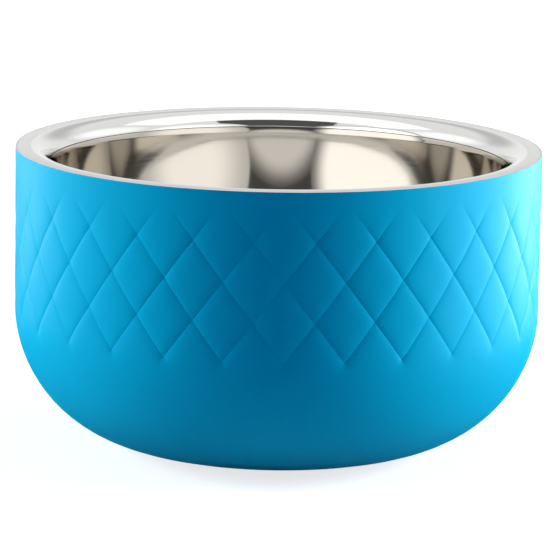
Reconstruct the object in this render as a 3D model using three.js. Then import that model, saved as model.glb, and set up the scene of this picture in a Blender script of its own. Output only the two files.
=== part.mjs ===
// A triple-walled steel bowl: three drawn walls with an air gap between each two, joined at one rim.
// Millimetres, +Z up. The origin is on the table, at the middle of the foot, and -Y is the front.

import * as THREE from 'three';
import { mergeGeometries } from 'three/addons/utils/BufferGeometryUtils.js';

// Walls
const outsideDiameter = 200;
const bodyHeight = 113.4; // from the flat steel base to the top of the rim
const bottomCornerRadius = 53.2; // outside, from the base into the upright wall
const outerSheet = 0.6;
const middleSheet = 0.4;
const innerSheet = 0.6;
const outerGap = 2.6; // air between the outer shell and the middle wall
const floorGap = 2.6; // air between the floors of the middle wall and the food bowl
const weldSeam = 0.3; // the width of every joint between two pieces

// Rim
const rimSheet = 0.8;
const lipInset = 1.95; // from the middle wall to where the rim starts to turn down
const lipRadius = 7.5; // outside of the lip
const lipTurn = 79; // degrees that the lip turns down

// Food bowl
const bowlFloorDiameter = 44; // the flat of the floor
const mouthLean = 4.3; // degrees that the wall leans in just under the lip
const bendReach = 0.49; // share of the way to the corner of wall and floor, where 0.55 makes an ellipse

// Diamonds pressed into the outer shell, like shallow pillows with creases between them
const diamondsAround = 28;
const diamondsHigh = 2;
const diamondHeight = 29.4;
const patternDrop = 4.1; // from the top of the rim down to the highest points of the creases
const creaseDepth = 0.6;
const pillowSlope = 4.5; // from a crease across to the flat middle of a diamond
const creaseRunout = 3; // beyond the end of a crease the wall is smooth again

// Foot
const footLift = 1.4; // the rubber stands this far below the steel base
const footInset = 3.8; // from the edge of the flat base to the channel
const footChannelWidth = 9;
const footChannelDepth = 1.6;
const footChamfer = 0.5;

// Vent plug and spacer pads
const ventDiameter = 6;
const plugFlangeWidth = 2.5; // beyond the hole
const plugFlangeThickness = 0.8;
const plugBarbWidth = 0.6; // beyond the hole
const plugBarbHeight = 1.2;
const padInset = 1.5; // from the raised channel to the lower pad
const padVentClearance = 1.4; // from the barb to the pad

// Fineness of the round shapes
const facetsAround = 2 * diamondsAround; // the creases cross on the facets' edges
const cornerSteps = 8;
const lipSteps = 6;
const bowlSteps = 14;

// Places that several pieces share
const outerRadius = outsideDiameter / 2;
const baseRadius = outerRadius - bottomCornerRadius;
const baseHeight = footLift;
const rimHeight = baseHeight + bodyHeight;
const middleDepth = outerSheet + outerGap; // from the outside to the middle wall
const lipStartRadius = outerRadius - middleDepth - middleSheet - lipInset;
const lipAngle = THREE.MathUtils.degToRad(lipTurn);
const mouthRadius = lipStartRadius - lipRadius * Math.sin(lipAngle); // the bowl starts flush with the lip
const mouthHeight = rimHeight - lipRadius * (1 - Math.cos(lipAngle)) - weldSeam;
const bowlFloorRadius = bowlFloorDiameter / 2;
const middleFloorHeight = baseHeight + middleDepth + middleSheet;
const bowlFloorHeight = middleFloorHeight + floorGap + innerSheet;
const channelOuterRadius = baseRadius - footInset;
const channelInnerRadius = channelOuterRadius - footChannelWidth;
const lowerPadRadius = channelInnerRadius - outerSheet - padInset;
const ventRadius = ventDiameter / 2;

// Places in the band of diamonds, as heights above the steel base
const patternFoot = bodyHeight - patternDrop - diamondsHigh * diamondHeight;
const bandFoot = patternFoot - creaseRunout;
const bandTop = bodyHeight - Math.max(patternDrop - creaseRunout, outerSheet);

// How much of a diamond is flat, between the slopes down to the creases around it
const diamondWidth = (Math.PI * outsideDiameter) / diamondsAround;
const creaseSpacing = (diamondWidth * diamondHeight) / Math.hypot(diamondWidth, diamondHeight);
const flatShare = 1 - (2 * pillowSlope) / creaseSpacing;

// Materials
const bluePaint = new THREE.MeshStandardMaterial({ color: 0x0091cb, roughness: 0.38, metalness: 0.1 });
const satinSteel = new THREE.MeshStandardMaterial({ color: 0xdad8d2, roughness: 0.35, metalness: 1 });
const mirrorSteel = new THREE.MeshStandardMaterial({ color: 0xd5d0c6, roughness: 0.08, metalness: 1 });
const plainSteel = new THREE.MeshStandardMaterial({ color: 0xb9b7b2, roughness: 0.5, metalness: 1 });
const blackRubber = new THREE.MeshStandardMaterial({ color: 0x1d1d1f, roughness: 0.85, metalness: 0 });
const greySilicone = new THREE.MeshStandardMaterial({ color: 0x8b8d90, roughness: 0.7, metalness: 0 });

// A surface turned around the bowl's axis from its half section, given anticlockwise as radius and height
function turned(section) {
  return new THREE.LatheGeometry(section, facetsAround).rotateX(Math.PI / 2);
}

// A whole piece, whose section starts and ends on the axis or closes on itself
function turnedPiece(section) {
  const startsOnAxis = section[0].x === 0;
  return turned(startsOnAxis ? section : [...section, section[0]]);
}

function point(radius, height) {
  return new THREE.Vector2(radius, height);
}

// A place on the outside of the body, by the tilt of the surface: 0 on the base, a quarter turn on the wall
function cornerPlace(tilt) {
  const radius = baseRadius + bottomCornerRadius * Math.sin(tilt);
  const height = baseHeight + bottomCornerRadius * (1 - Math.cos(tilt));
  return { radius, height, tilt };
}

// A place on the outside of the body by its height above the steel base
function wallPlace(rise) {
  if (rise >= bottomCornerRadius) {
    return { radius: outerRadius, height: baseHeight + rise, tilt: Math.PI / 2 };
  }
  return cornerPlace(Math.acos(1 - rise / bottomCornerRadius));
}

// The places up the bottom corner, from the flat base to a tilt
function cornerPlaces(lastTilt) {
  return Array.from({ length: cornerSteps + 1 }, (_, step) => cornerPlace((lastTilt * step) / cornerSteps));
}

// A point of the section, a depth below a place on the outside
function inward(place, depth) {
  return point(place.radius - depth * Math.sin(place.tilt), place.height + depth * Math.cos(place.tilt));
}

// A triangle's corners in the order that faces out of the shell, or into it for the sheet's other side
function faced(corners, facesIn) {
  return facesIn ? [corners[0], corners[2], corners[1]] : corners;
}

// One side of the band, at a depth below the outside: each diamond slopes from its flat middle down to creases
function diamondBand(depth, facesIn) {
  const triangles = [];
  const levels = 2 * diamondsHigh;
  const bandPoint = (column, rise, pressed) => {
    const place = inward(wallPlace(rise), depth + (pressed ? creaseDepth : 0));
    const turn = (column / facetsAround) * 2 * Math.PI;
    return new THREE.Vector3(place.x * Math.sin(turn), -place.x * Math.cos(turn), place.y);
  };
  const riseAt = (level) => patternFoot + (level * diamondHeight) / 2;
  const crossing = (column, level) => bandPoint(column, riseAt(level), true);
  const raised = (column, level) => bandPoint(column, riseAt(level), false);
  const triangle = (...corners) => triangles.push(...faced(corners, facesIn));
  const quad = (a, b, c, d) => {
    triangle(a, b, c);
    triangle(a, c, d);
  };
  for (let level = 0; level <= levels; level += 1) {
    for (let column = (level + 1) % 2; column < facetsAround; column += 2) {
      const left = crossing(column - 1, level);
      const right = crossing(column + 1, level);
      const flatLeft = raised(column - flatShare, level);
      const flatRight = raised(column + flatShare, level);
      const under = level > 0 ? raised(column, level - flatShare) : bandPoint(column, bandFoot, false);
      const over = level < levels ? raised(column, level + flatShare) : bandPoint(column, bandTop, false);
      quad(under, flatRight, over, flatLeft);
      if (level > 0) {
        const bottom = crossing(column, level - 1);
        quad(bottom, right, flatRight, under);
        quad(left, bottom, under, flatLeft);
      } else {
        quad(bandPoint(column + 1, bandFoot, false), right, flatRight, under);
        quad(bandPoint(column - 1, bandFoot, false), under, flatLeft, left);
      }
      if (level < levels) {
        const top = crossing(column, level + 1);
        quad(right, top, over, flatRight);
        quad(top, left, flatLeft, over);
      } else {
        quad(bandPoint(column + 1, bandTop, false), over, flatRight, right);
        quad(bandPoint(column - 1, bandTop, false), left, flatLeft, over);
      }
    }
  }
  return new THREE.BufferGeometry().setFromPoints(triangles);
}

// The painted wall, with its closed base, the foot's channel, the vent hole and the pressed diamonds
function outerShell() {
  const roof = baseHeight + footChannelDepth;
  const base = [
    point(ventRadius, baseHeight),
    point(channelInnerRadius, baseHeight),
    point(channelInnerRadius, roof),
    point(channelOuterRadius, roof),
    point(channelOuterRadius, baseHeight),
  ];
  const floor = [
    point(channelOuterRadius + outerSheet, baseHeight + outerSheet),
    point(channelOuterRadius + outerSheet, roof + outerSheet),
    point(channelInnerRadius - outerSheet, roof + outerSheet),
    point(channelInnerRadius - outerSheet, baseHeight + outerSheet),
    point(ventRadius, baseHeight + outerSheet),
  ];
  const corner = cornerPlaces(wallPlace(bandFoot).tilt);
  if (bandFoot > bottomCornerRadius) corner.push(wallPlace(bandFoot));
  const lower = [
    ...corner.map((place) => inward(place, outerSheet)).reverse(),
    ...floor,
    ...base,
    ...corner.map((place) => inward(place, 0)),
  ];
  const upper = [
    inward(wallPlace(bandTop), 0),
    inward(wallPlace(bodyHeight), 0),
    inward(wallPlace(bodyHeight), outerSheet),
    inward(wallPlace(bandTop), outerSheet),
  ];
  const walls = [turned(lower), turned(upper)].map((wall) => new THREE.BufferGeometry()
    .setAttribute('position', wall.toNonIndexed().getAttribute('position')));
  return mergeGeometries([...walls, diamondBand(0, false), diamondBand(outerSheet, true)]);
}

// The third wall follows the outside, hangs from the underside of the rim and has a hole that joins the two gaps
function middleWall() {
  const corner = cornerPlaces(Math.PI / 2);
  const depth = middleDepth + middleSheet;
  const topHeight = rimHeight - rimSheet - weldSeam;
  return turnedPiece([
    point(ventRadius, baseHeight + middleDepth),
    ...corner.map((place) => inward(place, middleDepth)),
    point(outerRadius - middleDepth, topHeight),
    point(outerRadius - depth, topHeight),
    ...corner.map((place) => inward(place, depth)).reverse(),
    point(ventRadius, middleFloorHeight),
  ]);
}

// The inside of the food bowl, in one bend from the mouth to the edge of the flat floor
function bowlBend() {
  const lean = (mouthHeight - bowlFloorHeight) * Math.tan(THREE.MathUtils.degToRad(mouthLean));
  const mouth = point(mouthRadius, mouthHeight);
  const corner = point(mouthRadius - lean, bowlFloorHeight);
  const floorEdge = point(bowlFloorRadius, bowlFloorHeight);
  return new THREE.CubicBezierCurve(
    mouth,
    mouth.clone().lerp(corner, bendReach),
    floorEdge.clone().lerp(corner, bendReach),
    floorEdge,
  );
}

// The food bowl, from the lip's lower edge down
function innerBowl() {
  const bend = bowlBend();
  const shares = Array.from({ length: bowlSteps + 1 }, (_, step) => step / bowlSteps);
  const inside = shares.map((share) => bend.getPoint(share));
  const outside = shares.map((share) => {
    const along = bend.getTangent(share);
    return bend.getPoint(share).add(point(-along.y, along.x).multiplyScalar(innerSheet));
  });
  return turnedPiece([
    point(0, bowlFloorHeight - innerSheet),
    ...outside.reverse(),
    ...inside,
    point(0, bowlFloorHeight),
  ]);
}

// The flat rim, which ends inwards in the lip
function rimRing() {
  const lip = (radius) => Array.from({ length: lipSteps + 1 }, (_, step) => {
    const angle = (lipAngle * step) / lipSteps;
    return point(lipStartRadius - radius * Math.sin(angle), rimHeight - lipRadius + radius * Math.cos(angle));
  });
  const edge = outerRadius - outerSheet - weldSeam;
  return turnedPiece([
    point(edge, rimHeight - rimSheet),
    point(edge, rimHeight),
    ...lip(lipRadius),
    ...lip(lipRadius - rimSheet).reverse(),
  ]);
}

// The rubber ring that the bowl stands on, in its channel
function nonSlipRing() {
  const inner = channelInnerRadius + weldSeam;
  const outer = channelOuterRadius - weldSeam;
  const top = baseHeight + footChannelDepth - weldSeam;
  return turnedPiece([
    point(inner + footChamfer, 0),
    point(outer - footChamfer, 0),
    point(outer, footChamfer),
    point(outer, top),
    point(inner, top),
    point(inner, footChamfer),
  ]);
}

// The plug in the vent hole, with a flange below the base and a barb above it
function ventPlug() {
  const shank = ventRadius - weldSeam;
  const flange = ventRadius + plugFlangeWidth;
  const barb = ventRadius + plugBarbWidth;
  const flangeTop = baseHeight - weldSeam;
  const barbFoot = baseHeight + outerSheet + weldSeam;
  return turnedPiece([
    point(0, flangeTop - plugFlangeThickness),
    point(flange, flangeTop - plugFlangeThickness),
    point(flange, flangeTop),
    point(shank, flangeTop),
    point(shank, barbFoot),
    point(barb, barbFoot),
    point(shank, barbFoot + plugBarbHeight),
    point(0, barbFoot + plugBarbHeight),
  ]);
}

// A silicone ring between two floors, around the vent
function spacerPad(floorHeight, gap, outer) {
  const inner = ventRadius + plugBarbWidth + padVentClearance;
  const low = floorHeight + weldSeam;
  const high = floorHeight + gap - weldSeam;
  return turnedPiece([point(inner, low), point(outer, low), point(outer, high), point(inner, high)]);
}

const bowl = new THREE.Group();

function addPiece(name, geometry, material) {
  const mesh = new THREE.Mesh(geometry, material);
  mesh.name = name;
  bowl.add(mesh);
}

addPiece('outer_shell', outerShell(), bluePaint);
addPiece('middle_wall', middleWall(), plainSteel);
addPiece('inner_bowl', innerBowl(), mirrorSteel);
addPiece('rim_ring', rimRing(), satinSteel);
addPiece('lower_spacer_pad', spacerPad(baseHeight + outerSheet, outerGap, lowerPadRadius), greySilicone);
addPiece('upper_spacer_pad', spacerPad(middleFloorHeight, floorGap, bowlFloorRadius), greySilicone);
addPiece('vent_plug', ventPlug(), greySilicone);
addPiece('non_slip_ring', nonSlipRing(), blackRubber);

export default bowl;
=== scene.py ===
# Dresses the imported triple-walled bowl and sets it in a plain studio.
# Laid out as an add-on, run as a script. Metres, +Z up, -Y towards the front.

import math

import bmesh
import bpy
from bpy.props import FloatProperty, FloatVectorProperty, IntProperty, PointerProperty
from mathutils import Matrix, Vector
from mathutils.geometry import interpolate_bezier


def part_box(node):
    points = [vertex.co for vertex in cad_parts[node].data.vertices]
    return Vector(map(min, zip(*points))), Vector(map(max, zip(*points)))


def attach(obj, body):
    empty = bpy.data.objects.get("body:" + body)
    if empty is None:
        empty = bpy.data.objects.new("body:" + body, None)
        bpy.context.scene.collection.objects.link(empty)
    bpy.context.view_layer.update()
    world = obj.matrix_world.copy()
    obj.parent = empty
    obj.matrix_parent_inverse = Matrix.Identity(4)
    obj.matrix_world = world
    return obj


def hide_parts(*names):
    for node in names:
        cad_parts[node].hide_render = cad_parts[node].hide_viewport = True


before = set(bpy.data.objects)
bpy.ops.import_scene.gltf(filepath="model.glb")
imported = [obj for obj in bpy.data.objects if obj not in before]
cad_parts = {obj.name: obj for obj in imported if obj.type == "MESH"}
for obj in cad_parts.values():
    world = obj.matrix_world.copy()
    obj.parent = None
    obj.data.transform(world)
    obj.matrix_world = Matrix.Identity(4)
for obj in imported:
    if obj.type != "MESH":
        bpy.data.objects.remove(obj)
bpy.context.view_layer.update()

bl_info = {
    "name": "Triple-walled bowl",
    "version": (1, 0, 0),
    "blender": (4, 5, 0),
    "location": "3D View > Sidebar > Bowl",
    "description": "Builds the looks of a triple-walled steel bowl around its packed solids",
    "category": "Object",
}

MM = 0.001
AXIS = (0, 0, 1)
WHITE = (1, 1, 1, 1)

# Points closer than this are one point, in metres and in half diamonds of the flat lattice
MERGE = 0.002 * MM
LATTICE_MERGE = 1e-5

# Steps around the axis, from the polished steel to the small stopper
STEEL_TURN = 256
WALL_TURN = 192
FOOT_TURN = 160
PAD_TURN = 96
STOPPER_TURN = 64

# Steps along a section's arcs and bends
ARC_STEPS = 32
BEND_POINTS = 64
CORNER_STEPS = 16

# Edges that turn by more than this are sharp, in degrees
CREASE_SHARP = 8
SHEET_SHARP = 30
MOULD_SHARP = 40
CUT_SHARP = 60

# The rubber and silicone pieces keep this far from the steel
FIT = 0.3 * MM

# The solids that the looks are built around
shell_low, shell_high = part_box("outer_shell")
middle_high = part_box("middle_wall")[1]
foot_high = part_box("non_slip_ring")[1]
plug_low, plug_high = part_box("vent_plug")
lower_pad_low, lower_pad_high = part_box("lower_spacer_pad")
upper_pad_low, upper_pad_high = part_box("upper_spacer_pad")


def linear(hex_colour):
    """An sRGB hex colour as linear red, green and blue."""
    parts = [int(hex_colour[i:i + 2], 16) / 255 for i in (1, 3, 5)]
    return tuple(p / 12.92 if p <= 0.04045 else ((p + 0.055) / 1.055) ** 2.4 for p in parts)


def length(name, description, default):
    """A property for a size in metres."""
    return FloatProperty(
        name=name, description=description, default=default, min=0, unit="LENGTH", precision=5
    )


def shift(name, description, default):
    """A property for a distance in metres that may also be negative."""
    return FloatProperty(name=name, description=description, default=default, unit="LENGTH", precision=5)


def angle(name, description, degrees):
    """A property for an angle, from its degrees."""
    return FloatProperty(
        name=name, description=description, default=math.radians(degrees), subtype="ANGLE"
    )


def colour(name, description, default):
    """A property for a colour, from its hex value."""
    return FloatVectorProperty(
        name=name, description=description, default=linear(default), min=0, max=1, subtype="COLOR"
    )


class BowlSizes(bpy.types.PropertyGroup):
    """Sizes of the bowl's pieces."""

    outside_radius: length("Outside radius", "Of the upright painted wall", shell_high.x)
    base_height: length("Base height", "Of the flat steel base above the table", shell_low.z)
    rim_height: length("Rim height", "Of the flat rim above the table", shell_high.z)
    corner_radius: length("Corner radius", "Outside, from the base into the upright wall", 53.2 * MM)
    outer_sheet: length("Outer sheet", "Thickness of the painted shell", 0.6 * MM)
    middle_sheet: length("Middle sheet", "Thickness of the middle wall", 0.4 * MM)
    inner_sheet: length("Inner sheet", "Thickness of the food bowl", 0.6 * MM)
    rim_sheet: length("Rim sheet", "Thickness of the rim", 0.8 * MM)
    lip_start: length("Lip start", "Radius at which the flat rim begins to turn down", 94.45 * MM)
    lip_radius: length("Lip radius", "Outside of the lip", 7.5 * MM)
    lip_turn: angle("Lip turn", "How far the lip turns down", 79)
    bowl_floor: length("Bowl floor", "Height of the food bowl's floor", 8.2 * MM)
    bowl_flat: length("Bowl flat", "Radius of the flat of the food bowl's floor", 22 * MM)
    mouth_lean: angle("Mouth lean", "Of the food bowl's wall under the lip", 4.3)
    bend_reach: FloatProperty(
        name="Bend reach", description="Share of the way to the corner of wall and floor", default=0.49,
        min=0, max=1, subtype="FACTOR",
    )
    seam: length("Seam", "Left open between two sheets that are welded", 0.06 * MM)
    edge_round: length("Edge rounding", "Of the sheets' cut edges", 0.12 * MM)
    diamonds_around: IntProperty(
        name="Diamonds around", description="In one row", default=28, min=3
    )
    diamond_height: length("Diamond height", "From point to point", 29.4 * MM)
    diamonds_high: IntProperty(
        name="Diamonds high", description="Rows of diamonds between the creases", default=2, min=1
    )
    pattern_foot: length("Pattern foot", "Lowest points of the creases above the base", 50.5 * MM)
    crease_depth: length("Crease depth", "How far a diamond drops towards its creases", 0.3 * MM)
    crease_power: FloatProperty(
        name="Crease sharpness", description="How steeply a diamond drops into its creases",
        default=4, min=1,
    )
    score_depth: length("Score depth", "Of the fine line along a crease", 0.06 * MM)
    score_reach: length("Score reach", "Half the width of the fine line", 1.1 * MM)
    crease_fade: FloatProperty(
        name="Crease fade", description="Half diamonds up at which the creases begin to run out",
        default=2.8, min=0,
    )
    channel_outer: length("Channel outside", "Outer radius of the foot's channel", 43 * MM)
    channel_inner: length("Channel inside", "Inner radius of the foot's channel", 34 * MM)
    channel_depth: length("Channel depth", "Of the foot's channel in the base", 1.6 * MM)
    channel_round: length("Channel rounding", "Of the pressed channel's edges", 0.8 * MM)
    vent_radius: length("Vent radius", "Of the hole in the base", 3 * MM)


class BowlFinishes(bpy.types.PropertyGroup):
    """Colours of the bowl's finishes."""

    paint: colour("Paint", "Baked paint of the outer shell", "#00ACD4")
    paint_shade: colour("Paint shade", "Where the coat lies a little thicker", "#00A7CF")
    rim_steel: colour("Rim steel", "Ground flat of the rim", "#DCDDDA")
    mirror_steel: colour("Mirror steel", "Polished inside of the food bowl", "#BBB5AB")
    plain_steel: colour("Plain steel", "Unpolished sheet inside the walls", "#B4B1AB")
    rubber: colour("Rubber", "Moulded foot ring", "#1D1D1F")
    silicone: colour("Silicone", "Pads and vent stopper", "#8B8D90")


class BowlStudio(bpy.types.PropertyGroup):
    """The camera and the lights."""

    distance: length("Camera distance", "From the middle of the steel body", 1.6)
    elevation: angle("Elevation", "Of the camera", 11.318)
    azimuth: angle("Azimuth", "Of the camera, to the right", -1.6)
    roll: angle("Roll", "Of the camera", 0.942)
    lens: FloatProperty(
        name="Lens", description="Focal length in millimetres", default=268.87, min=1
    )
    aim_right: shift("Aim right", "Of the body's middle", 1.26 * MM)
    aim_up: shift("Aim up", "Of the body's middle", 5.06 * MM)
    floor: colour("Floor", "Pale studio floor", "#C4C4C4")
    fill: colour("Fill", "Dim light from all around", "#2F8CFF")


# Mesh helpers


def pen_start(bm, radius, height):
    """Puts the pen down at the start of a half section."""
    return bm.verts.new((radius, 0, height))


def pen_line(bm, tip, radius, height):
    """Draws the section on in a straight line and returns its new end."""
    end = bmesh.ops.extrude_vert_indiv(bm, verts=[tip])["verts"][0]
    end.co = (radius, 0, height)
    return end


def pen_arc(bm, tip, radius, height, angle, steps):
    """Draws the section on around a centre, anticlockwise from the front, and returns its new end."""
    swept = bmesh.ops.spin(
        bm, geom=[tip], cent=(radius, 0, height), axis=(0, -1, 0), dvec=(0, 0, 0),
        angle=angle, steps=steps, use_merge=False, use_normal_flip=False, use_duplicate=False,
    )
    return swept["geom_last"][0]


def round_corners(bm, corners, radius, segments):
    """Rounds corners of a drawn section."""
    bmesh.ops.bevel(
        bm, geom=corners, offset=radius, offset_type="OFFSET", segments=segments, profile=0.5,
        affect="VERTICES", material=-1,
    )


def turn(bm, steps):
    """Turns the drawn section around the bowl's axis."""
    bmesh.ops.remove_doubles(bm, verts=bm.verts[:], dist=MERGE)
    bmesh.ops.spin(
        bm, geom=bm.verts[:] + bm.edges[:], cent=(0, 0, 0), axis=AXIS, dvec=(0, 0, 0), angle=2 * math.pi,
        steps=steps, use_merge=True, use_normal_flip=False, use_duplicate=False,
    )
    bmesh.ops.remove_doubles(bm, verts=bm.verts[:], dist=MERGE)
    bmesh.ops.recalc_face_normals(bm, faces=bm.faces[:])


def face_up(bm):
    """Turns a surface's faces so that they look up."""
    bm.normal_update()
    if sum(face.normal.z * face.calc_area() for face in bm.faces) < 0:
        bmesh.ops.reverse_faces(bm, faces=bm.faces[:])


def thicken(bm, sheet, edge_round):
    """Gives a surface the thickness of its sheet, behind its faces, and rounds the cut edges."""
    bmesh.ops.solidify(bm, geom=bm.faces[:], thickness=sheet)
    bm.normal_update()
    limit = math.radians(CUT_SHARP)
    cut = [e for e in bm.edges if e.is_manifold and e.calc_face_angle() > limit]
    if not cut:
        raise RuntimeError("the sheet has no cut edge to round")
    bmesh.ops.bevel(
        bm, geom=cut, offset=edge_round, offset_type="OFFSET", segments=2, profile=0.5,
        affect="EDGES", material=-1,
    )


def place_piece(bm, name, materials, node, sharp):
    """Makes a finished bmesh a piece that stands for a CAD node."""
    mesh = bpy.data.meshes.new(name)
    bm.to_mesh(mesh)
    bm.free()
    for material in materials:
        mesh.materials.append(material)
    mesh.shade_smooth()
    mesh.set_sharp_from_angle(angle=math.radians(sharp))
    piece = bpy.data.objects.new(name, mesh)
    bpy.context.scene.collection.objects.link(piece)
    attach(piece, "root")
    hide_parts(node)


def wall_surface(sizes, depth, top):
    """The outside of a plain wall that follows the painted shell at a depth, open at the vent."""
    bm = bmesh.new()
    flat = sizes.outside_radius - sizes.corner_radius
    floor = sizes.base_height + depth
    tip = pen_start(bm, sizes.vent_radius, floor)
    tip = pen_line(bm, tip, flat, floor)
    tip = pen_arc(bm, tip, flat, sizes.base_height + sizes.corner_radius, math.pi / 2, ARC_STEPS)
    pen_line(bm, tip, tip.co.x, top)
    turn(bm, WALL_TURN)
    return bm


# Material helpers


def add_node(tree, kind, inputs=None, **settings):
    """Adds a node with its settings. An input is a value, or the output of another node."""
    node = tree.nodes.new(kind)
    for name, value in settings.items():
        setattr(node, name, value)
    for name, value in (inputs or {}).items():
        if isinstance(value, bpy.types.NodeSocket):
            tree.links.new(value, node.inputs[name])
        else:
            node.inputs[name].default_value = value
    return node


def new_material(name):
    """An empty node material, its tree and the object's own coordinates."""
    material = bpy.data.materials.new(name)
    material.use_nodes = True
    tree = material.node_tree
    tree.nodes.clear()
    return material, tree, add_node(tree, "ShaderNodeTexCoord").outputs["Object"]


def per_mm(size):
    """The scale of a noise whose marks are a number of millimetres wide."""
    return 1 / (size * MM)


def blue_paint(finishes):
    """Satin powder coat, baked on pressed steel: an even colour, a faint orange peel and a low gloss."""
    material, tree, place = new_material("baked_blue_enamel")
    cloud = add_node(tree, "ShaderNodeTexNoise", {"Vector": place, "Scale": per_mm(35), "Detail": 2})
    peel = add_node(tree, "ShaderNodeTexNoise", {"Vector": place, "Scale": per_mm(2.2), "Detail": 1})
    tint = add_node(
        tree, "ShaderNodeMix",
        {0: cloud.outputs["Fac"], 6: (*finishes.paint, 1), 7: (*finishes.paint_shade, 1)},
        data_type="RGBA",
    )
    gloss = add_node(
        tree, "ShaderNodeMapRange", {"Value": peel.outputs["Fac"], "To Min": 0.4, "To Max": 0.5}
    )
    bump = add_node(
        tree, "ShaderNodeBump", {"Height": peel.outputs["Fac"], "Strength": 0.06, "Distance": 0.05 * MM}
    )
    shader = add_node(tree, "ShaderNodeBsdfPrincipled", {
        "Base Color": tint.outputs[2], "Roughness": gloss.outputs[0], "Normal": bump.outputs[0],
        "IOR": 1.5, "Specular IOR Level": 0.1, "Specular Tint": (*finishes.paint, 1),
    })
    add_node(tree, "ShaderNodeOutputMaterial", {"Surface": shader.outputs[0]})
    return material


def rim_steel(finishes, sizes):
    """Stainless steel: a flat ground in circles to a satin sheen, and a lip polished bright."""
    material, tree, place = new_material("ground_and_polished_stainless_steel")
    across = add_node(tree, "ShaderNodeVectorMath", {0: place, 1: (1, 1, 0)}, operation="MULTIPLY")
    radius = add_node(tree, "ShaderNodeVectorMath", {0: across.outputs[0]}, operation="LENGTH")
    # Real grinding marks are finer than a pixel, so these are drawn wider
    marks = add_node(
        tree, "ShaderNodeTexNoise",
        {"W": radius.outputs["Value"], "Scale": per_mm(0.35), "Detail": 2}, noise_dimensions="1D",
    )
    polish_edge = 0.8 * MM
    ground = add_node(tree, "ShaderNodeMapRange", {
        "Value": radius.outputs["Value"], "To Min": 0, "To Max": 1,
        "From Min": sizes.lip_start - polish_edge, "From Max": sizes.lip_start,
    })
    satin = add_node(
        tree, "ShaderNodeMapRange", {"Value": marks.outputs["Fac"], "To Min": 0.24, "To Max": 0.34}
    )
    gloss = add_node(
        tree, "ShaderNodeMix", {0: ground.outputs[0], 2: 0.07, 3: satin.outputs[0]}, data_type="FLOAT"
    )
    bump = add_node(tree, "ShaderNodeBump", {
        "Height": marks.outputs["Fac"], "Strength": 0.05, "Distance": 0.02 * MM,
    })
    shader = add_node(tree, "ShaderNodeBsdfPrincipled", {
        "Base Color": (*finishes.rim_steel, 1), "Metallic": 1, "Roughness": gloss.outputs[0],
        "Normal": bump.outputs[0],
    })
    add_node(tree, "ShaderNodeOutputMaterial", {"Surface": shader.outputs[0]})
    return material


def mirror_steel(finishes):
    """Stainless steel, drawn and mirror-polished: sharp reflections, faint level polishing lines."""
    material, tree, place = new_material("mirror_polished_stainless_steel")
    parts = add_node(tree, "ShaderNodeSeparateXYZ", {0: place})
    # Real polishing lines are finer than a pixel, so these are drawn wider
    lines = add_node(
        tree, "ShaderNodeTexNoise",
        {"W": parts.outputs["Z"], "Scale": per_mm(0.8), "Detail": 3}, noise_dimensions="1D",
    )
    draw = add_node(tree, "ShaderNodeTexNoise", {"Vector": place, "Scale": per_mm(28), "Detail": 1})
    gloss = add_node(
        tree, "ShaderNodeMapRange", {"Value": lines.outputs["Fac"], "To Min": 0.04, "To Max": 0.09}
    )
    bump = add_node(tree, "ShaderNodeBump", {
        "Height": draw.outputs["Fac"], "Strength": 0.25, "Distance": 0.4 * MM,
    })
    shader = add_node(tree, "ShaderNodeBsdfPrincipled", {
        "Base Color": (*finishes.mirror_steel, 1), "Metallic": 1, "Roughness": gloss.outputs[0],
        "Normal": bump.outputs[0],
    })
    add_node(tree, "ShaderNodeOutputMaterial", {"Surface": shader.outputs[0]})
    return material


def drawn_steel(finishes):
    """Stainless steel as it left the press: dull, with upright draw marks."""
    material, tree, place = new_material("drawn_stainless_steel")
    upright = (1, 1, 0.06)
    long = add_node(tree, "ShaderNodeMapping", {"Vector": place, "Scale": upright})
    # Real draw marks are finer than a pixel, so these are drawn wider
    marks = add_node(
        tree, "ShaderNodeTexNoise", {"Vector": long.outputs[0], "Scale": per_mm(0.8), "Detail": 3}
    )
    gloss = add_node(
        tree, "ShaderNodeMapRange", {"Value": marks.outputs["Fac"], "To Min": 0.35, "To Max": 0.55}
    )
    bump = add_node(tree, "ShaderNodeBump", {
        "Height": marks.outputs["Fac"], "Strength": 0.2, "Distance": 0.03 * MM,
    })
    shader = add_node(tree, "ShaderNodeBsdfPrincipled", {
        "Base Color": (*finishes.plain_steel, 1), "Metallic": 1, "Roughness": gloss.outputs[0],
        "Normal": bump.outputs[0],
    })
    add_node(tree, "ShaderNodeOutputMaterial", {"Surface": shader.outputs[0]})
    return material


def moulded(name, base, grain, smoothest, roughest):
    """A rubber or silicone moulding: one colour, a little mottled, with the mould's fine grain."""
    material, tree, place = new_material(name)
    mottle = add_node(tree, "ShaderNodeTexNoise", {"Vector": place, "Scale": per_mm(4), "Detail": 3})
    # A real mould's grain is finer than a pixel, so it is drawn coarser
    skin = add_node(tree, "ShaderNodeTexNoise", {"Vector": place, "Scale": per_mm(grain), "Detail": 2})
    spread = 0.2
    dark = tuple((1 - spread) * part for part in base)
    light = tuple(min(1, (1 + spread) * part) for part in base)
    tint = add_node(
        tree, "ShaderNodeMix", {0: mottle.outputs["Fac"], 6: (*dark, 1), 7: (*light, 1)}, data_type="RGBA"
    )
    gloss = add_node(
        tree, "ShaderNodeMapRange",
        {"Value": skin.outputs["Fac"], "To Min": smoothest, "To Max": roughest},
    )
    bump = add_node(tree, "ShaderNodeBump", {
        "Height": skin.outputs["Fac"], "Strength": 0.3, "Distance": 0.06 * MM,
    })
    shader = add_node(tree, "ShaderNodeBsdfPrincipled", {
        "Base Color": tint.outputs[2], "Roughness": gloss.outputs[0], "Normal": bump.outputs[0],
        "IOR": 1.45,
    })
    add_node(tree, "ShaderNodeOutputMaterial", {"Surface": shader.outputs[0]})
    return material


# The pressed diamonds


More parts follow.
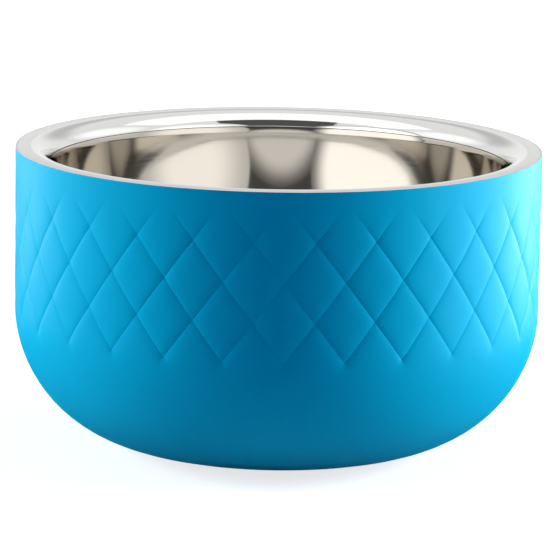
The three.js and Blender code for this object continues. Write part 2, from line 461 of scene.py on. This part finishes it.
def body_place(sizes, rise):
    """Radius, height and tilt of the painted outside at a rise above the steel base."""
    if rise >= sizes.corner_radius:
        return sizes.outside_radius, sizes.base_height + rise, math.pi / 2
    tilt = math.acos(1 - rise / sizes.corner_radius)
    radius = sizes.outside_radius - sizes.corner_radius * (1 - math.sin(tilt))
    return radius, sizes.base_height + rise, tilt


def crease_press(sizes, column, level):
    """How deep the shell is pressed at a place in the lattice, counted in half diamonds."""
    wide = math.pi * sizes.outside_radius / sizes.diamonds_around
    high = sizes.diamond_height / 2
    side = math.hypot(wide, high)
    reach = wide * high / side
    top = 2 * sizes.diamonds_high
    press = 0
    for lean in (-1, 1):
        foot = 2 * round((column - lean * level) / 2)
        run = ((column - foot) * lean * wide * wide + level * high * high) / (side * side)
        run = min(max(run, 0), top)
        away = math.hypot((column - foot - lean * run) * wide, (level - run) * high)
        fade = min(max((run - sizes.crease_fade) / (top - sizes.crease_fade), 0), 1)
        strength = 1 - fade * fade * (3 - 2 * fade)
        slope = sizes.crease_depth * max(0, 1 - away / reach) ** sizes.crease_power
        score = sizes.score_depth * max(0, 1 - away / sizes.score_reach) ** 2
        press += strength * (slope + score)
    return press


def diamond_band(sizes):
    """The outside of the shell from the rim down into the bottom corner, pressed with diamonds."""
    strips = 12
    crowding = 0.8
    bm = bmesh.new()
    top = (sizes.rim_height - sizes.base_height - sizes.pattern_foot) / (sizes.diamond_height / 2)
    bmesh.ops.create_circle(bm, cap_ends=True, cap_tris=False, segments=4, radius=1)
    bmesh.ops.subdivide_edges(bm, edges=bm.edges[:], cuts=strips - 1, use_grid_fill=True)
    # The grid's lines crowd towards the creases
    for vert in bm.verts:
        across = (vert.co.x + vert.co.y + 1) / 2
        along = (vert.co.y - vert.co.x + 1) / 2
        across -= crowding * math.sin(2 * math.pi * across) / (2 * math.pi)
        along -= crowding * math.sin(2 * math.pi * along) / (2 * math.pi)
        vert.co = (across - along, across + along - 1, 0)
    cell = bm.verts[:] + bm.edges[:] + bm.faces[:]
    bmesh.ops.translate(bm, verts=bm.verts[:], vec=(0, -1, 0))
    for level in range(0, math.ceil(top) + 1):
        copied = bmesh.ops.duplicate(bm, geom=cell)["geom"]
        verts = [part for part in copied if isinstance(part, bmesh.types.BMVert)]
        bmesh.ops.translate(bm, verts=verts, vec=((level + 1) % 2, level + 1, 0))
    bmesh.ops.remove_doubles(bm, verts=bm.verts[:], dist=LATTICE_MERGE)
    for height, keeps in ((-1, 1), (top, -1)):
        bmesh.ops.bisect_plane(
            bm, geom=bm.verts[:] + bm.edges[:] + bm.faces[:], dist=LATTICE_MERGE,
            plane_co=(0, height, 0), plane_no=(0, keeps, 0), use_snap_center=True, clear_inner=True,
        )
    # The flat lattice is bent around the body
    for vert in bm.verts:
        column, level = vert.co.x, vert.co.y
        radius, height, tilt = body_place(sizes, sizes.pattern_foot + level * sizes.diamond_height / 2)
        press = crease_press(sizes, column, level)
        angle = column * math.pi / sizes.diamonds_around
        inner = radius - press * math.sin(tilt)
        vert.co = (inner * math.sin(angle), -inner * math.cos(angle), height + press * math.cos(tilt))
    copies = sizes.diamonds_around - 1
    bmesh.ops.spin(
        bm, geom=bm.verts[:] + bm.edges[:] + bm.faces[:], cent=(0, 0, 0), axis=AXIS, dvec=(0, 0, 0),
        angle=2 * math.pi * copies / sizes.diamonds_around, steps=copies, use_merge=False,
        use_normal_flip=False, use_duplicate=True,
    )
    bmesh.ops.remove_doubles(bm, verts=bm.verts[:], dist=MERGE)
    return bm


def carry_loop(bm, loop, radius, height):
    """Draws a level loop of edges on to a new radius and height, and returns the new loop."""
    grown = bmesh.ops.extrude_edge_only(bm, edges=loop)["geom"]
    verts = [part for part in grown if isinstance(part, bmesh.types.BMVert)]
    edges = [part for part in grown if isinstance(part, bmesh.types.BMEdge)]
    share = radius / verts[0].co.xy.length
    bmesh.ops.scale(bm, verts=verts, vec=(share, share, 1))
    bmesh.ops.translate(bm, verts=verts, vec=(0, 0, height - verts[0].co.z))
    return edges


class BOWL_OT_painted_shell(bpy.types.Operator):
    """Builds the blue outer shell with its pressed diamonds, closed base and foot channel"""

    bl_idname = "bowl.painted_shell"
    bl_label = "Painted shell"

    def execute(self, context):
        sizes, finishes = context.scene.bowl_sizes, context.scene.bowl_finishes
        bm = diamond_band(sizes)
        lowest = min(v.co.z for v in bm.verts)
        foot = lowest + MERGE
        loop = [e for e in bm.edges if e.is_boundary and max(v.co.z for v in e.verts) < foot]
        rise = lowest - sizes.base_height
        for step in range(1, CORNER_STEPS + 1):
            tilt = math.acos(1 - rise / sizes.corner_radius) * (1 - step / CORNER_STEPS)
            radius = sizes.outside_radius - sizes.corner_radius * (1 - math.sin(tilt))
            height = sizes.base_height + sizes.corner_radius * (1 - math.cos(tilt))
            loop = carry_loop(bm, loop, radius, height)
        roof = sizes.base_height + sizes.channel_depth
        corners = []
        for radius, height in (
            (sizes.channel_outer, sizes.base_height), (sizes.channel_outer, roof),
            (sizes.channel_inner, roof), (sizes.channel_inner, sizes.base_height),
        ):
            loop = carry_loop(bm, loop, radius, height)
            corners += loop
        carry_loop(bm, loop, sizes.vent_radius, sizes.base_height)
        bmesh.ops.recalc_face_normals(bm, faces=bm.faces[:])
        bmesh.ops.bevel(
            bm, geom=corners, offset=sizes.channel_round, offset_type="OFFSET", segments=3, profile=0.5,
            affect="EDGES", material=-1,
        )
        thicken(bm, sizes.outer_sheet, sizes.edge_round)
        # Only what faces out of the bowl is painted, and the cut edge is ground with the rim
        materials = [blue_paint(finishes), drawn_steel(finishes), rim_steel(finishes, sizes)]
        paint, bare, ground = range(len(materials))
        middle = Vector((0, 0, sizes.rim_height / 2))
        tilt_limit = 0.5
        for face in bm.faces:
            spot = face.calc_center_median()
            outward = face.normal.dot((spot - middle).normalized()) > tilt_limit
            if outward and face.normal.z < tilt_limit:
                face.material_index = paint
            elif spot.z > sizes.rim_height - sizes.edge_round:
                face.material_index = ground
            else:
                face.material_index = bare
        place_piece(bm, "painted_shell", materials, "outer_shell", CREASE_SHARP)
        return {"FINISHED"}


class BOWL_OT_middle_shell(bpy.types.Operator):
    """Builds the plain steel wall between the painted shell and the food bowl"""

    bl_idname = "bowl.middle_shell"
    bl_label = "Middle shell"

    def execute(self, context):
        sizes, finishes = context.scene.bowl_sizes, context.scene.bowl_finishes
        depth = sizes.outside_radius - middle_high.x
        bm = wall_surface(sizes, depth, middle_high.z)
        thicken(bm, sizes.middle_sheet, sizes.edge_round / 2)
        steel = drawn_steel(finishes)
        place_piece(bm, "middle_shell", [steel], "middle_wall", SHEET_SHARP)
        return {"FINISHED"}


class BOWL_OT_food_bowl(bpy.types.Operator):
    """Builds the mirror-polished food bowl"""

    bl_idname = "bowl.food_bowl"
    bl_label = "Food bowl"

    def execute(self, context):
        sizes, finishes = context.scene.bowl_sizes, context.scene.bowl_finishes
        radius = sizes.lip_start - sizes.lip_radius * math.sin(sizes.lip_turn)
        drop = sizes.lip_radius * (1 - math.cos(sizes.lip_turn)) + sizes.seam
        mouth = Vector((radius, 0, sizes.rim_height - drop))
        lean = (mouth.z - sizes.bowl_floor) * math.tan(sizes.mouth_lean)
        corner = Vector((mouth.x - lean, 0, sizes.bowl_floor))
        flat = Vector((sizes.bowl_flat, 0, sizes.bowl_floor))
        handles = [end.lerp(corner, sizes.bend_reach) for end in (mouth, flat)]
        bm = bmesh.new()
        tip = pen_start(bm, mouth.x, mouth.z)
        for place in interpolate_bezier(mouth, *handles, flat, BEND_POINTS)[1:]:
            tip = pen_line(bm, tip, place.x, place.z)
        pen_line(bm, tip, 0, sizes.bowl_floor)
        turn(bm, STEEL_TURN)
        face_up(bm)
        thicken(bm, sizes.inner_sheet, sizes.edge_round)
        steel = mirror_steel(finishes)
        place_piece(bm, "food_bowl", [steel], "inner_bowl", SHEET_SHARP)
        return {"FINISHED"}


class BOWL_OT_rolled_rim(bpy.types.Operator):
    """Builds the flat rim with its rounded lip"""

    bl_idname = "bowl.rolled_rim"
    bl_label = "Rolled rim"

    def execute(self, context):
        sizes, finishes = context.scene.bowl_sizes, context.scene.bowl_finishes
        bm = bmesh.new()
        edge = sizes.outside_radius - sizes.outer_sheet - sizes.seam
        tip = pen_start(bm, edge, sizes.rim_height)
        tip = pen_line(bm, tip, sizes.lip_start, sizes.rim_height)
        centre = sizes.rim_height - sizes.lip_radius
        pen_arc(bm, tip, sizes.lip_start, centre, sizes.lip_turn, ARC_STEPS)
        turn(bm, STEEL_TURN)
        face_up(bm)
        thicken(bm, sizes.rim_sheet, sizes.edge_round)
        steel = rim_steel(finishes, sizes)
        place_piece(bm, "rolled_rim", [steel], "rim_ring", SHEET_SHARP)
        return {"FINISHED"}


class BOWL_OT_spacer_rings(bpy.types.Operator):
    """Builds the two silicone rings between the floors of the walls"""

    bl_idname = "bowl.spacer_rings"
    bl_label = "Spacer rings"

    def execute(self, context):
        finishes = context.scene.bowl_finishes
        silicone = moulded(
            "moulded_silicone", finishes.silicone, grain=0.5, smoothest=0.5, roughest=0.65
        )
        inner = 5 * MM
        edge_round = 0.5 * MM
        for name, node, low, high in (
            ("lower_spacer_ring", "lower_spacer_pad", lower_pad_low, lower_pad_high),
            ("upper_spacer_ring", "upper_spacer_pad", upper_pad_low, upper_pad_high),
        ):
            bm = bmesh.new()
            tip = pen_start(bm, inner, low.z)
            for radius, height in ((high.x, low.z), (high.x, high.z), (inner, high.z), (inner, low.z)):
                tip = pen_line(bm, tip, radius, height)
            bmesh.ops.remove_doubles(bm, verts=bm.verts[:], dist=MERGE)
            round_corners(bm, bm.verts[:], edge_round, 4)
            turn(bm, PAD_TURN)
            place_piece(bm, name, [silicone], node, MOULD_SHARP)
        return {"FINISHED"}


class BOWL_OT_vent_stopper(bpy.types.Operator):
    """Builds the silicone stopper in the vent hole of the base"""

    bl_idname = "bowl.vent_stopper"
    bl_label = "Vent stopper"

    def execute(self, context):
        sizes, finishes = context.scene.bowl_sizes, context.scene.bowl_finishes
        silicone = moulded(
            "moulded_silicone_stopper", finishes.silicone, grain=0.5, smoothest=0.5, roughest=0.65
        )
        bm = bmesh.new()
        shank = sizes.vent_radius - FIT
        barb = sizes.vent_radius + 0.6 * MM
        flange_top = sizes.base_height - FIT
        barb_foot = sizes.base_height + sizes.outer_sheet + FIT
        dimple_floor = 2.2 * MM
        dimple_edge = 2.6 * MM
        dimple_top = plug_low.z + 0.25 * MM
        edge_round = 0.15 * MM
        tip = pen_start(bm, 0, dimple_top)
        corners = []
        for radius, height in (
            (dimple_floor, dimple_top), (dimple_edge, plug_low.z), (plug_high.x, plug_low.z),
            (plug_high.x, flange_top), (shank, flange_top), (shank, barb_foot), (barb, barb_foot),
            (shank, plug_high.z),
        ):
            tip = pen_line(bm, tip, radius, height)
            corners.append(tip)
        pen_line(bm, tip, 0, plug_high.z)
        round_corners(bm, corners, edge_round, 3)
        turn(bm, STOPPER_TURN)
        place_piece(bm, "vent_stopper", [silicone], "vent_plug", MOULD_SHARP)
        return {"FINISHED"}


class BOWL_OT_foot_ring(bpy.types.Operator):
    """Builds the rubber foot ring with its grip ribs"""

    bl_idname = "bowl.foot_ring"
    bl_label = "Foot ring"

    def execute(self, context):
        sizes, finishes = context.scene.bowl_sizes, context.scene.bowl_finishes
        rubber = moulded(
            "moulded_black_rubber", finishes.rubber, grain=0.6, smoothest=0.6, roughest=0.8
        )
        bm = bmesh.new()
        inner = sizes.channel_inner + FIT
        outer = foot_high.x
        chamfer = 0.5 * MM
        ribs = 4
        groove = 0.7 * MM
        groove_depth = 0.5 * MM
        slope = 0.2 * groove
        edge_round = 0.12 * MM
        rib = (outer - inner - 2 * chamfer - (ribs - 1) * groove) / ribs
        tip = pen_start(bm, inner, chamfer)
        place = inner + chamfer
        section = []
        for number in range(ribs):
            end = place + rib
            section += [(place, 0), (end, 0)]
            if number < ribs - 1:
                section += [(end + slope, groove_depth), (end + groove - slope, groove_depth)]
            place = end + groove
        section += [(outer, chamfer), (outer, foot_high.z), (inner, foot_high.z), (inner, chamfer)]
        for radius, height in section:
            tip = pen_line(bm, tip, radius, height)
        bmesh.ops.remove_doubles(bm, verts=bm.verts[:], dist=MERGE)
        round_corners(bm, bm.verts[:], edge_round, 2)
        turn(bm, FOOT_TURN)
        place_piece(bm, "foot_ring", [rubber], "non_slip_ring", MOULD_SHARP)
        return {"FINISHED"}


# The studio

STUDIO_TARGET = Vector((0, 0, 80 * MM))
FILL_STRENGTH = 0.19

# The floor lies just under the foot ring, so that the two don't share a plane
FLOOR_CLEAR = 0.05 * MM
FLOOR_RADIUS = 8

# Where the floor is seen, it glows by the lift near the bowl and is white further off
FLOOR_LIFT = 0.74
FLOOR_LIFT_END = 0.15
FLOOR_WHITE_START = 0.8

# Name, azimuth and elevation in degrees, distance, width and height in metres, brightness
SOFTBOXES = (
    ("left_softbox", -99.5, 13, 2.6, 1.1, 1.5, 18),
    ("right_softbox", 95.5, 13, 2.6, 1.1, 1.5, 22),
    ("overhead_softbox", 0, 84.5, 1.4, 3.3, 1.28, 0.45),
)

# Corners of a card
RECTANGLE = 4
OVAL = 48

# Cards that glow only in mirrors and light nothing: painted reflections of light, and where dim, painted
# shade
# As for a softbox, then the brightness at the edge, the corners, and how far out it begins to dim
CARDS = (
    ("overhead_card", 0, 84.5, 1.4, 3.3, 1.28, 1.45, 1.45, RECTANGLE, 0.5),
    ("front_left_card", -52, 12, 1.5, 1.87, 1.4, 2.05, 0.35, OVAL, 0.65),
    ("front_right_card", 46, 12, 1.5, 1.8, 1.4, 1.75, 0.95, OVAL, 0.3),
    ("front_glow_card", -2.5, 0, 2, 1.7, 1.42, 1.1, 0.2, OVAL, 0.55),
    # A dark card in front that only mirrors show: painted shade in the reflections
    ("front_dark_card", 0, 30, 2.2, 2.24, 2.64, 0.1, 0.1, RECTANGLE, 0.5),
    ("left_side_card", -105, 25, 1.6, 2.2, 1.1, 1.4, 0.95, OVAL, 0.3),
    ("right_side_card", 105, 25, 1.6, 2.2, 1.1, 1.4, 0.95, OVAL, 0.3),
    # A dimmed card at the back that only mirrors show: painted shade in the reflections
    ("back_shade_card", 180, 27, 1.8, 4, 0.9, 0.65, 1, OVAL, 0.2),
    # Bright low cards at the sides that only mirrors show: painted highlights along the paint's edges
    ("left_low_card", -104, -6, 0.4, 0.6, 0.14, 5, 2, OVAL, 0.4),
    ("right_low_card", 98, -6, 0.4, 0.75, 0.14, 16, 5, OVAL, 0.4),
    # A dark disc on the floor that only the paint mirrors: a painted shadow of the bowl in the paint's
    # reflection
    ("floor_shade_card", 0, -90, 0.079, 1.5, 1.5, 0.02, 0.02, OVAL, 0.5),
)


def seen_rays(tree):
    """1 for what the camera sees, also in a mirror or through glass, and 0 for what only lights."""
    path = add_node(tree, "ShaderNodeLightPath")
    rays = path.outputs["Is Camera Ray"]
    for kind in ("Is Glossy Ray", "Is Transmission Ray"):
        either = add_node(tree, "ShaderNodeMath", {0: rays, 1: path.outputs[kind]}, operation="MAXIMUM")
        rays = either.outputs[0]
    return rays


def studio_world(fill):
    """White where it is seen or mirrored, and a dim blue fill as a light."""
    world = bpy.data.worlds.new("white_studio")
    world.use_nodes = True
    tree = world.node_tree
    tree.nodes.clear()
    dim = add_node(tree, "ShaderNodeBackground", {"Color": (*fill, 1), "Strength": FILL_STRENGTH})
    white = add_node(tree, "ShaderNodeBackground", {"Color": WHITE, "Strength": 1})
    light = add_node(
        tree, "ShaderNodeMixShader", {0: seen_rays(tree), 1: dim.outputs[0], 2: white.outputs[0]}
    )
    add_node(tree, "ShaderNodeOutputWorld", {"Surface": light.outputs[0]})
    bpy.context.scene.world = world


def stage_piece(bm, name, material):
    """Makes a bmesh a part of the stage and returns it."""
    mesh = bpy.data.meshes.new(name)
    bm.to_mesh(mesh)
    bm.free()
    mesh.materials.append(material)
    piece = bpy.data.objects.new(name, mesh)
    bpy.context.scene.collection.objects.link(piece)
    return piece


def studio_floor(pale):
    """A pale floor that keeps the bowl's shadow. Where it is seen it is lifted, and white further off."""
    bm = bmesh.new()
    bmesh.ops.create_circle(bm, cap_ends=True, cap_tris=False, segments=64, radius=FLOOR_RADIUS)
    bmesh.ops.translate(bm, verts=bm.verts[:], vec=(0, 0, -FLOOR_CLEAR))
    material, tree, place = new_material("pale_studio_floor")
    away = add_node(tree, "ShaderNodeVectorMath", {0: place}, operation="LENGTH")
    white = add_node(tree, "ShaderNodeMapRange", {
        "Value": away.outputs["Value"], "To Min": FLOOR_LIFT, "To Max": 1,
        "From Min": FLOOR_LIFT_END, "From Max": FLOOR_WHITE_START,
    }, interpolation_type="SMOOTHSTEP")
    lifted = add_node(
        tree, "ShaderNodeMath", {0: seen_rays(tree), 1: white.outputs[0]}, operation="MULTIPLY"
    )
    shader = add_node(tree, "ShaderNodeBsdfPrincipled", {
        "Base Color": (*pale, 1), "Roughness": 0.9, "Specular IOR Level": 0,
        "Emission Color": WHITE, "Emission Strength": lifted.outputs[0],
    })
    add_node(tree, "ShaderNodeOutputMaterial", {"Surface": shader.outputs[0]})
    stage_piece(bm, "floor", material)


def studio_place(azimuth, elevation, distance):
    """A point around the bowl. Azimuth 0 is the front and 90 the right, in degrees."""
    turned = math.radians(azimuth)
    raised = math.radians(elevation)
    level = Vector((math.sin(turned), -math.cos(turned), 0)) * math.cos(raised)
    return STUDIO_TARGET + distance * (level + Vector((0, 0, math.sin(raised))))


def softbox(name, azimuth, elevation, distance, wide, high, brightness):
    """A soft panel of light that faces the bowl, and that no mirror shows. A brightness of 1 is white."""
    lamp = bpy.data.lights.new(name, "AREA")
    lamp.shape = "RECTANGLE"
    lamp.size = wide
    lamp.size_y = high
    lamp.energy = math.pi * wide * high * brightness
    panel = bpy.data.objects.new(name, lamp)
    panel.location = studio_place(azimuth, elevation, distance)
    panel.rotation_euler = (STUDIO_TARGET - panel.location).to_track_quat("-Z", "Y").to_euler()
    panel.visible_camera = False
    panel.visible_glossy = False
    bpy.context.scene.collection.objects.link(panel)


def card(name, azimuth, elevation, distance, wide, high, brightness, edge, corners, fade):
    """A glowing card that only gloss mirrors and that lights nothing: a painted reflection. Past the fade
    it dims towards its edge.
    """
    bm = bmesh.new()
    reach = 0.5 / math.cos(math.pi / corners)
    bmesh.ops.create_circle(bm, cap_ends=True, cap_tris=False, segments=corners, radius=reach)
    upright = Matrix.Rotation(math.pi / corners, 3, "Z")
    bmesh.ops.rotate(bm, verts=bm.verts[:], cent=(0, 0, 0), matrix=upright)
    bmesh.ops.scale(bm, verts=bm.verts[:], vec=(wide, high, 1))
    place = studio_place(azimuth, elevation, distance)
    turned = (STUDIO_TARGET - place).to_track_quat("-Z", "Y")
    spot = Matrix.Translation(place) @ turned.to_matrix().to_4x4()
    bmesh.ops.transform(bm, matrix=spot, verts=bm.verts[:])
    material, tree, where = new_material(name + "_mirror_glow")
    local = add_node(tree, "ShaderNodeMapping", {
        "Vector": where, "Location": place, "Rotation": turned.to_euler(),
        "Scale": (wide / 2, high / 2, 1),
    }, vector_type="TEXTURE")
    away = add_node(tree, "ShaderNodeVectorMath", {0: local.outputs[0]}, operation="LENGTH")
    glow = add_node(tree, "ShaderNodeMapRange", {
        "Value": away.outputs["Value"], "From Min": fade, "From Max": 1,
        "To Min": brightness, "To Max": edge,
    }, interpolation_type="SMOOTHSTEP")
    shader = add_node(tree, "ShaderNodeEmission", {"Color": WHITE, "Strength": glow.outputs[0]})
    add_node(tree, "ShaderNodeOutputMaterial", {"Surface": shader.outputs[0]})
    mirror_glow = stage_piece(bm, name, material)
    mirror_glow.visible_camera = False
    mirror_glow.visible_diffuse = False
    mirror_glow.visible_shadow = False


def studio_camera(sizes, studio):
    """The camera of the photograph: far away, a little above the rim."""
    target = Vector((0, 0, (sizes.base_height + sizes.rim_height) / 2))
    level = Vector((math.sin(studio.azimuth), -math.cos(studio.azimuth), 0))
    level *= math.cos(studio.elevation)
    eye = target + studio.distance * (level + Vector((0, 0, math.sin(studio.elevation))))
    roll = Matrix.Rotation(studio.roll, 3, "Z")
    straight = (target - eye).to_track_quat("-Z", "Y").to_matrix() @ roll
    aim = target + straight.col[0] * studio.aim_right + straight.col[1] * studio.aim_up
    data = bpy.data.cameras.new("camera")
    data.lens = studio.lens
    data.clip_end = 50
    camera = bpy.data.objects.new("camera", data)
    camera.location = eye
    camera.rotation_euler = ((aim - eye).to_track_quat("-Z", "Y").to_matrix() @ roll).to_euler()
    bpy.context.scene.collection.objects.link(camera)
    bpy.context.scene.camera = camera


class BOWL_OT_studio(bpy.types.Operator):
    """Sets the floor, the lights, the white surroundings and the camera"""

    bl_idname = "bowl.studio"
    bl_label = "Studio"

    def execute(self, context):
        sizes, studio = context.scene.bowl_sizes, context.scene.bowl_studio
        studio_world(studio.fill)
        studio_floor(studio.floor)
        for panel in SOFTBOXES:
            softbox(*panel)
        for mirror_glow in CARDS:
            card(*mirror_glow)
        studio_camera(sizes, studio)
        context.scene.view_settings.view_transform = "Standard"
        return {"FINISHED"}


class BOWL_PT_sidebar(bpy.types.Panel):
    """Lists the bowl's pieces and their sizes"""

    bl_idname = "BOWL_PT_sidebar"
    bl_label = "Triple-walled bowl"
    bl_space_type = "VIEW_3D"
    bl_region_type = "UI"
    bl_category = "Bowl"

    def draw(self, context):
        for operator in OPERATORS:
            self.layout.operator(operator.bl_idname)
        for group in ("bowl_sizes", "bowl_finishes", "bowl_studio"):
            values = getattr(context.scene, group)
            for name in values.__annotations__:
                self.layout.prop(values, name)


GROUPS = {"bowl_sizes": BowlSizes, "bowl_finishes": BowlFinishes, "bowl_studio": BowlStudio}
OPERATORS = (
    BOWL_OT_painted_shell,
    BOWL_OT_middle_shell,
    BOWL_OT_food_bowl,
    BOWL_OT_rolled_rim,
    BOWL_OT_spacer_rings,
    BOWL_OT_vent_stopper,
    BOWL_OT_foot_ring,
    BOWL_OT_studio,
)


def register():
    for name, group in GROUPS.items():
        bpy.utils.register_class(group)
        setattr(bpy.types.Scene, name, PointerProperty(type=group))
    for operator in OPERATORS:
        bpy.utils.register_class(operator)
    bpy.utils.register_class(BOWL_PT_sidebar)


def unregister():
    bpy.utils.unregister_class(BOWL_PT_sidebar)
    for operator in reversed(OPERATORS):
        bpy.utils.unregister_class(operator)
    for name, group in reversed(GROUPS.items()):
        delattr(bpy.types.Scene, name)
        bpy.utils.unregister_class(group)


def main():
    register()
    bpy.ops.bowl.painted_shell()
    bpy.ops.bowl.middle_shell()
    bpy.ops.bowl.food_bowl()
    bpy.ops.bowl.rolled_rim()
    bpy.ops.bowl.spacer_rings()
    bpy.ops.bowl.vent_stopper()
    bpy.ops.bowl.foot_ring()
    bpy.ops.bowl.studio()
    bpy.context.view_layer.update()


if __name__ == "__main__":
    main()
